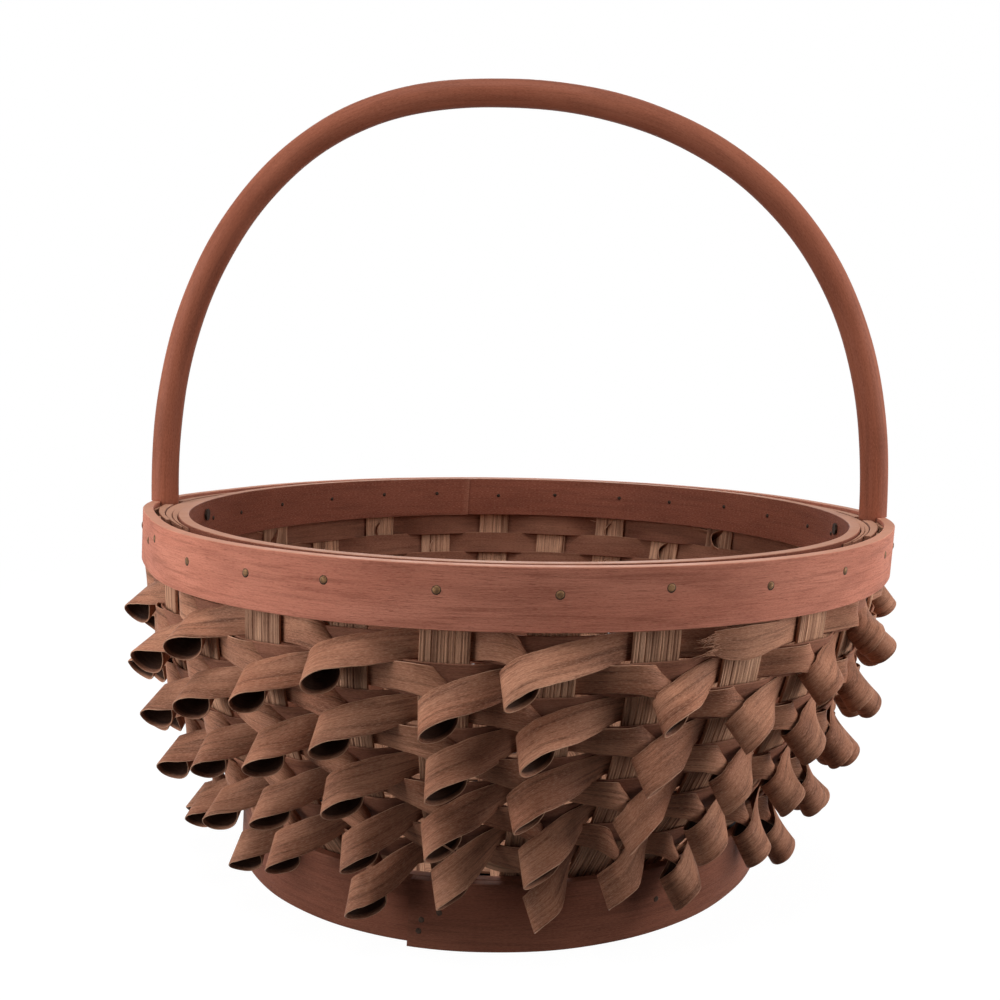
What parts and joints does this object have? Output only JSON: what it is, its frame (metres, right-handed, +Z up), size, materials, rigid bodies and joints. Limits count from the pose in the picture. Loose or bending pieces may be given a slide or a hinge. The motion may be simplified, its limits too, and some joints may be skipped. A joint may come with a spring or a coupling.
{
  "type": "foraging basket",
  "caption": "Round woven chipwood basket on a bentwood foot hoop, with rows of curled weavers on its wall, a two-hoop rim and a fixed bow handle.",
  "frame": {"origin": "centre of the basket's bounding box, on the floor under its foot hoop", "axes": "+Z up; the front faces -Y; the handle stands over X"},
  "size_m": [0.3078, 0.3078, 0.3093],
  "materials": {
    "stained_bentwood": "reddish brown stain, satin",
    "stained_dowel": "reddish brown stain, satin",
    "cut_bentwood": "cut edges, matte",
    "pale_splint": "ribbed pale splint, matte",
    "stained_chipwood": "brown stain, matte",
    "curled_chipwood": "brown stain, matte, slightly fuzzy",
    "dull_steel": "dull"
  },
  "bodies": {
    "root": {"handle_bow": "stained_dowel", "rim_hoop_outer": "stained_bentwood", "rim_hoop_inner": "stained_bentwood", "foot_hoop": "stained_bentwood", "rim_filler_left": "cut_bentwood", "rim_filler_right": "cut_bentwood", "rim_shim_left_front": "cut_bentwood", "rim_shim_left_back": "cut_bentwood", "rim_shim_right_front": "cut_bentwood", "rim_shim_right_back": "cut_bentwood", "stake_strip_along_1": "pale_splint", "stake_strip_along_2": "pale_splint", "stake_strip_along_3": "pale_splint", "stake_strip_along_4": "pale_splint", "stake_strip_along_5": "pale_splint", "stake_strip_along_6": "pale_splint", "stake_strip_along_7": "pale_splint", "stake_strip_across_1": "pale_splint", "stake_strip_across_2": "pale_splint", "stake_strip_across_3": "pale_splint", "stake_strip_across_4": "pale_splint", "stake_strip_across_5": "pale_splint", "stake_strip_across_6": "pale_splint", "stake_strip_across_7": "pale_splint", "locking_weaver": "pale_splint", "weaver_row_1": "stained_chipwood", "weaver_row_2": "stained_chipwood", "weaver_row_3": "stained_chipwood", "weaver_row_4": "stained_chipwood", "weaver_row_5": "stained_chipwood", "weaver_row_6": "stained_chipwood", "weaver_row_7": "stained_chipwood", "weaver_row_8": "stained_chipwood", "weaver_row_9": "stained_chipwood", "curled_weaver_row_1": "curled_chipwood", "curled_weaver_row_2": "curled_chipwood", "curled_weaver_row_3": "curled_chipwood", "curled_weaver_row_4": "curled_chipwood", "curled_weaver_row_5": "curled_chipwood", "curled_weaver_row_6": "curled_chipwood", "curled_weaver_row_7": "curled_chipwood", "curled_weaver_row_8": "curled_chipwood", "curled_weaver_row_9": "curled_chipwood", "handle_nail_left_1": "dull_steel", "handle_nail_left_2": "dull_steel", "handle_nail_right_1": "dull_steel", "handle_nail_right_2": "dull_steel"}
  },
  "joints": []
}
